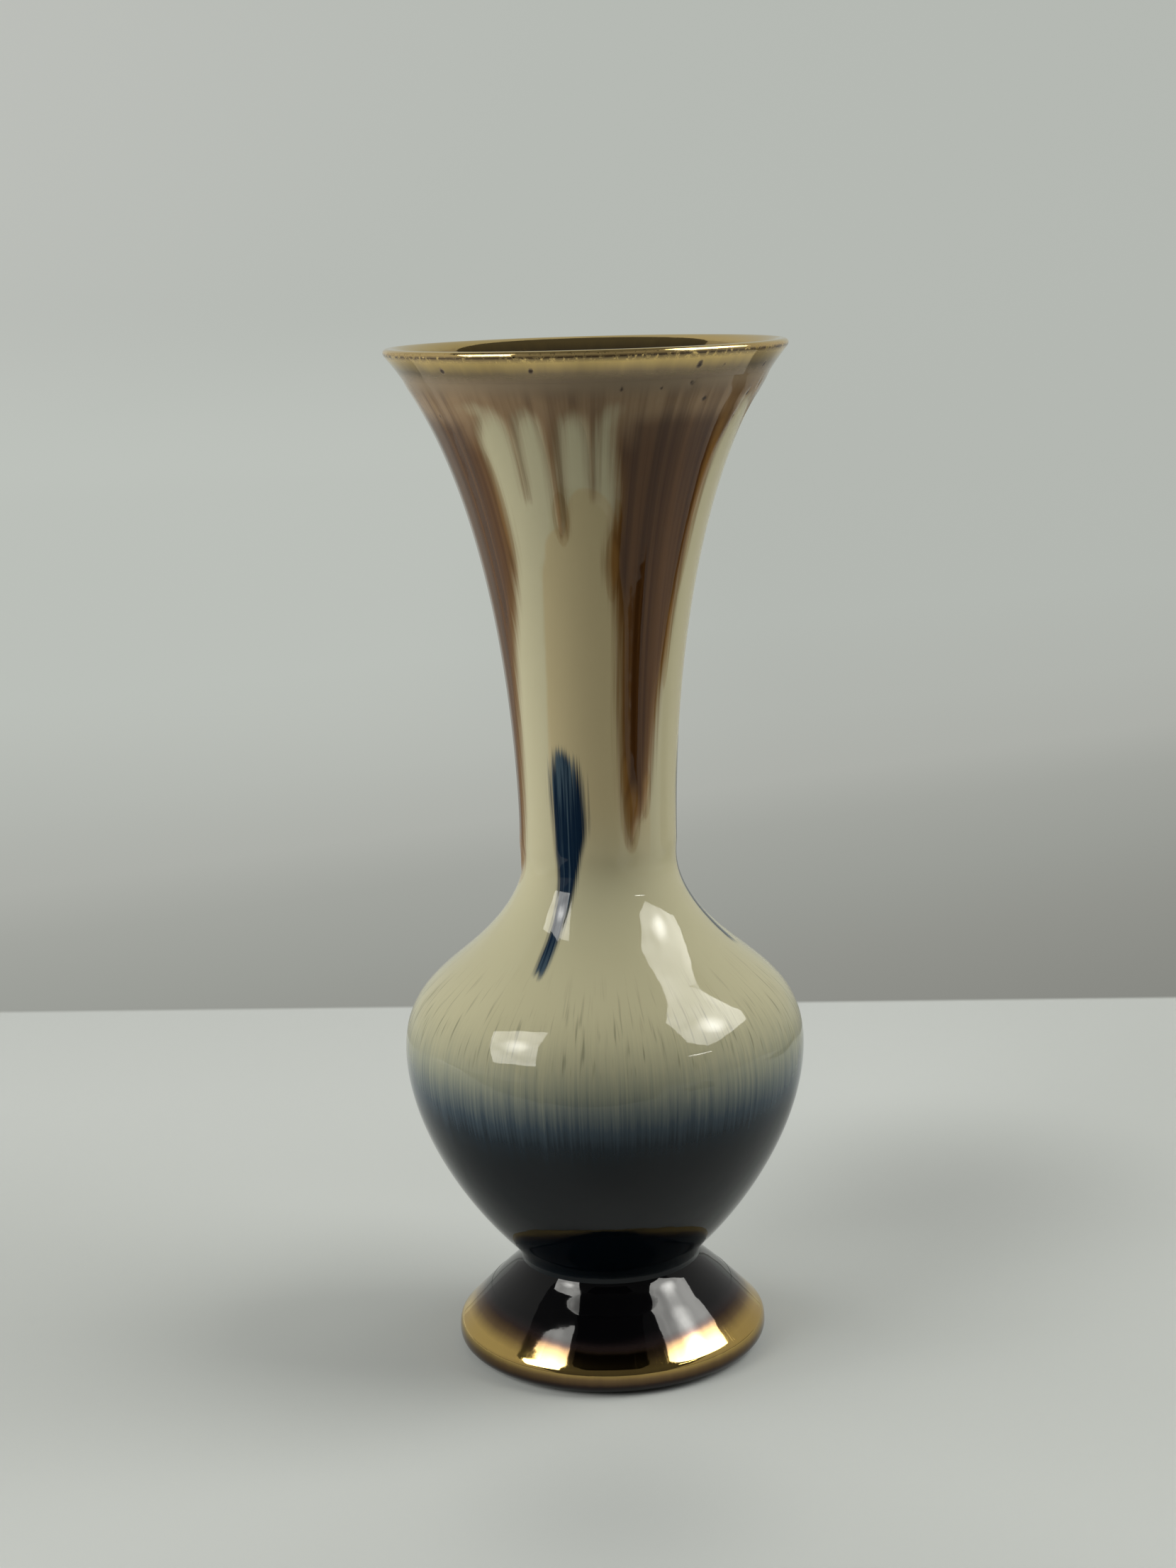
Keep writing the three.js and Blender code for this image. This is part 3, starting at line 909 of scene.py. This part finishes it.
TABLE_BACK = 0.256        # the table's tone changes this far behind the vase
BACK_TURN = math.tan(math.radians(3))
SWEEP_Y = 2.4             # where the floor curves up into the backdrop
SWEEP_R = 0.6
STAGE_HALF = 4.0
JUST_UP = 0.001           # the dark sheets lie this far above the floor
CEILING_Z = 1.0
WALL_DISTANCE = 2.2
DIFFUSER_RADIANCE = 8.5
CAMERA_PLACE = (0, -0.5387, 0.2386)
# The backdrop glows: its painted light by distance, brightest far away.
BACKDROP = [
    (0.10, rgb(131, 132, 126)), (0.26, rgb(145, 146, 140)), (0.36, rgb(154, 156, 150)),
    (0.47, rgb(162, 164, 158)), (0.56, rgb(172, 174, 168)), (0.72, rgb(176, 179, 173)),
    (1.05, rgb(179, 183, 177)), (2.4, rgb(180, 184, 178)), (3.0, rgb(182, 186, 180)),
    (3.6, rgb(190, 192, 187)),
]
# Painted shadows on the table, as darker round patches: centre, radius and tone.
TABLE_PAINTED_SHADOWS = [
    (0.0, -0.26, 0.20, tone(0.310, 0.319, 0.300)),
    (0.0, -0.088, 0.045, tone(0.362, 0.375, 0.352)),
    (0.088, 0.085, 0.08, tone(0.345, 0.356, 0.334)),
]


def stage_mesh(name, vertices, faces, material):
    sheet = new_object(name, np.array(vertices), faces)
    sheet.data.materials.append(material)
    return sheet


def reflected_sheet(name, corners, material):
    """A flat sheet that only reflections see."""
    sheet = stage_mesh(name, corners, [list(range(len(corners)))], material)
    sheet.visible_camera = False
    sheet.visible_diffuse = False
    sheet.visible_shadow = False
    sheet.visible_transmission = False


def floor_material():
    """Pale table in front, with painted light and painted shadows on it; behind its far edge a glowing
    backdrop, painted light that brightens with distance.
    """
    g = Graph("pale_floor")
    x, y, z = g.xyz(g.position)
    behind = g.add(g.add(y, g.times(x, BACK_TURN)), -TABLE_BACK)
    beyond = g.step(behind, -0.002, 0.002)
    reach = g.add(y, g.times(x, -0.55))
    backdrop = g.ramp(reach, 0.0, 4.0, BACKDROP)
    # The backdrop's painted glow is up to a tenth brighter low down on the left.
    lift = g.times(g.step(y, 0.40, 0.85, 0.0, 0.1), g.step(z, -0.02, 0.2, 1.0, 0.0))
    lift = g.add(g.times(g.step(x, -0.14, 0.12, 1.0, 0.0), lift), 1.0)
    mottling = g.noise(g.position, 6, 2.0)
    # Painted light: the table is lighter on the left than on the right.
    table = g.mix(g.step(x, -0.35, 0.25), tone(0.434, 0.447, 0.420), tone(0.410, 0.424, 0.397))
    table = g.mix(g.step(mottling, 0.3, 0.7, 0.0, 0.5), table, tone(0.420, 0.434, 0.406))
    # Painted light: the table is lighter towards the back on the left.
    back = g.times(g.step(y, 0.09, 0.18), g.step(x, 0.04, 0.18, 1.0, 0.0))
    table = g.mix(back, table, tone(0.444, 0.458, 0.431))
    # Each patch darkens the table as a painted shadow.
    for centre_x, centre_y, radius, shade in TABLE_PAINTED_SHADOWS:
        across, along = g.add(x, -centre_x), g.add(y, -centre_y)
        away = g.math("SQRT", g.add(g.times(across, across), g.times(along, along)))
        table = g.mix(g.step(away, 0.0, radius), shade, table)
    # Far in front it is painted dark, a painted shadow, so that little of its light falls on the vase.
    table = g.mix(g.step(y, -1.1, -0.26), tone(0.08, 0.08, 0.08), table)
    # Beyond the table's far edge the floor is near black and glows with the backdrop's painted light.
    g.set(Base_Color=g.mix(beyond, table, tone(0.002, 0.002, 0.002)), Roughness=0.8,
          Specular_IOR_Level=0.0, Emission_Color=g.mix(beyond, NOTHING, backdrop),
          Emission_Strength=lift)
    return g.material


def dark_material():
    g = Graph("dark_room")
    g.set(Base_Color=tone(0.01, 0.01, 0.01), Roughness=1.0, Specular_IOR_Level=0.0)
    return g.material


def add_floor():
    """A floor that curves up far behind the vase."""
    turns = np.linspace(0, math.pi / 2, 13)
    curve = [(SWEEP_Y + SWEEP_R * math.sin(a), SWEEP_R * (1 - math.cos(a))) for a in turns]
    rows = [(-STAGE_HALF, 0.0)] + curve + [(SWEEP_Y + SWEEP_R, STAGE_HALF)]
    vertices = [(x, y, z) for y, z in rows for x in (-STAGE_HALF, STAGE_HALF)]
    faces = [(2 * i, 2 * i + 1, 2 * i + 3, 2 * i + 2) for i in range(len(rows) - 1)]
    stage_mesh("floor", vertices, faces, floor_material())


def add_dark_room():
    """Unlit parts of the room, seen only as reflections in the glaze."""
    dark = dark_material()
    floor_sheets = {
        "dark_front_left": [
            (-2, -0.02), (-0.6, -0.155), (-0.404, -0.171), (-0.295, -0.177), (-0.231, -0.205),
            (-0.147, -0.205), (-0.091, -0.217), (0.0, -0.230), (0.0, -3), (-2, -3),
        ],
        "dark_front_right": [
            (0.0, -0.230), (0.037, -0.237), (0.079, -0.249), (0.112, -0.251), (0.199, -0.362),
            (0.6, -1.0), (0.6, -3), (0.0, -3),
        ],
        "dark_gap": [
            (0.226, -0.232), (0.275, -0.322), (0.46, -0.33), (0.379, -0.226), (0.278, -0.160),
        ],
        "dark_strip": [
            (0.286, 0.254), (0.326, 0.154), (0.386, 0.124), (0.431, 0.087), (0.507, 0.10),
            (0.56, 0.20), (0.42, 0.25), (0.32, 0.33),
        ],
    }
    for name, outline in floor_sheets.items():
        reflected_sheet(name, [(x, y, JUST_UP) for x, y in outline], dark)
    ceiling = [(-0.42, -0.95), (0.36, -0.95), (0.36, -0.22), (-0.42, -0.22)]
    reflected_sheet("dark_ceiling", [(x, y, CEILING_Z) for x, y in ceiling], dark)


def add_pale_walls():
    """Dim pale walls low on either side, seen only as reflections in the gold of the foot."""
    g = Graph("pale_wall")
    g.set(Base_Color=NOTHING, Specular_IOR_Level=0.0, Emission_Color=tone(1.0, 1.0, 0.96),
          Emission_Strength=0.42)
    left = [(-40, 1), (-57, 15), (-78, 27), (-97, 38), (-112, 50), (-150, 50), (-150, 1)]
    right = [(38, 1), (55, 9), (80, 22), (116, 30), (124, 48), (150, 48), (150, 1)]
    for name, outline in (("left_wall", left), ("right_wall", right)):
        corners = [towards(azimuth, elevation) * WALL_DISTANCE for azimuth, elevation in outline]
        reflected_sheet(name, corners, g.material)


def towards(azimuth, elevation):
    """A direction from the vase: degrees round from the front towards +X, and degrees up."""
    a, e = math.radians(azimuth), math.radians(elevation)
    return Vector((math.sin(a) * math.cos(e), -math.cos(a) * math.cos(e), math.sin(e)))


def lamp(name, direction, distance, size, radiance):
    """A soft area light aimed at the vase, not itself reflected in the glaze."""
    target = Vector((0, 0, 0.09))
    x_axis = Vector((0, 0, 1)).cross(direction).normalized()
    y_axis = direction.cross(x_axis)
    data = bpy.data.lights.new(name, "AREA")
    data.shape = "RECTANGLE"
    data.size, data.size_y = size
    data.energy = radiance * math.pi * size[0] * size[1]
    light = bpy.data.objects.new(name, data)
    rotation = Matrix((x_axis, y_axis, direction)).transposed().to_4x4()
    light.matrix_world = Matrix.Translation(target + direction * distance) @ rotation
    light.visible_glossy = False
    bpy.context.scene.collection.objects.link(light)


def diffuser(name, corners, hot, radiance):
    """The bright front of a softbox, as the glaze reflects it.

    Its corners and its hot spot are (azimuth, elevation), as towards() takes them."""
    origin = Vector((-0.005, -0.025, 0.09))
    g = Graph(name)
    reach = g.nodes.new("ShaderNodeVectorMath")
    reach.operation = "DISTANCE"
    g.put(reach.inputs[0], g.position)
    reach.inputs[1].default_value = origin + towards(*hot)
    folds = g.step(g.noise(g.position, 5, 2.0), 0.35, 0.65, 0.85, 1.15)
    glow = g.times(folds, g.step(reach.outputs["Value"], 0.0, 0.18, 3.8, 1.0))
    g.set(Base_Color=NOTHING, Specular_IOR_Level=0.0, Emission_Color=tone(1.0, 0.99, 0.94),
          Emission_Strength=g.times(glow, radiance))
    reflected_sheet(name, [origin + towards(*corner) for corner in corners], g.material)


def add_lights():
    lamp("left_softbox", towards(-54, 34), 1.0, (0.52, 0.69), 4.8)
    lamp("right_softbox", towards(85, 45), 1.0, (0.66, 0.56), 6.3)
    lamp("left_window", towards(-97, 11), 1.4, (1.2, 0.55), 8.2)
    lamp("right_window", towards(101, 11), 1.4, (1.2, 0.55), 4.3)
    lamp("ceiling_bounce", towards(180, 78), 1.3, (1.0, 1.0), 1.1)
    left = [(-67.5, 13.5), (-41.5, 18.5), (-54, 58), (-87.5, 41)]
    right = [(66.5, 27), (106, 28), (111.6, 32.5), (115.4, 50), (97.5, 65), (66, 61), (58, 38)]
    below = [(51, 21.8), (66, 20.6), (66, 21.3), (51, 22.5)]
    diffuser("left_diffuser", left, (-62, 36), DIFFUSER_RADIANCE)
    diffuser("right_diffuser", right, (86, 42), DIFFUSER_RADIANCE)
    diffuser("lower_frame", below, (58, 21), DIFFUSER_RADIANCE)
    world = bpy.data.worlds.new("room")
    bpy.context.scene.world = world
    world.use_nodes = True
    background = world.node_tree.nodes["Background"]
    background.inputs["Color"].default_value = (1.0, 1.0, 0.97, 1)
    background.inputs["Strength"].default_value = 0.08


def add_camera():
    """The viewpoint: 0.54 m in front of the vase and a little above its lip."""
    camera = bpy.data.cameras.new("camera")
    camera.lens = 58.7
    camera.sensor_width = 36
    camera.clip_start = 0.01
    view = bpy.data.objects.new("camera", camera)
    pitch, yaw, roll = 11.77, 0.22, 1.65
    turn = Matrix.Rotation(math.radians(yaw), 4, "Z")
    tilt = Matrix.Rotation(math.radians(90 - pitch), 4, "X")
    lean = Matrix.Rotation(math.radians(-roll), 4, "Z")
    view.matrix_world = Matrix.Translation(CAMERA_PLACE) @ turn @ tilt @ lean
    bpy.context.scene.collection.objects.link(view)
    bpy.context.scene.camera = view


def add_vase():
    bisque = bisque_material("bisque", BISQUE)
    body_glaze = glazed_surface("body_glaze", "body")
    foot_glaze = glazed_surface("foot_glaze", "foot")
    olive_glaze = glazed_surface("inside_glaze", "inside")
    add_vessel_casting(bisque)
    add_foot_casting(bisque)
    add_luting_slip()
    add_body_coats(body_glaze, glazed_surface("cobalt_glaze", "body", 1.335))
    add_lining(olive_glaze)
    add_foot_coat(foot_glaze)
    add_brown_runs(body_glaze)
    add_brush_strokes(body_glaze)
    add_gilding(body_glaze, foot_glaze)


add_vase()
add_floor()
add_dark_room()
add_pale_walls()
add_lights()
add_camera()
bpy.context.scene.view_settings.view_transform = "Standard"
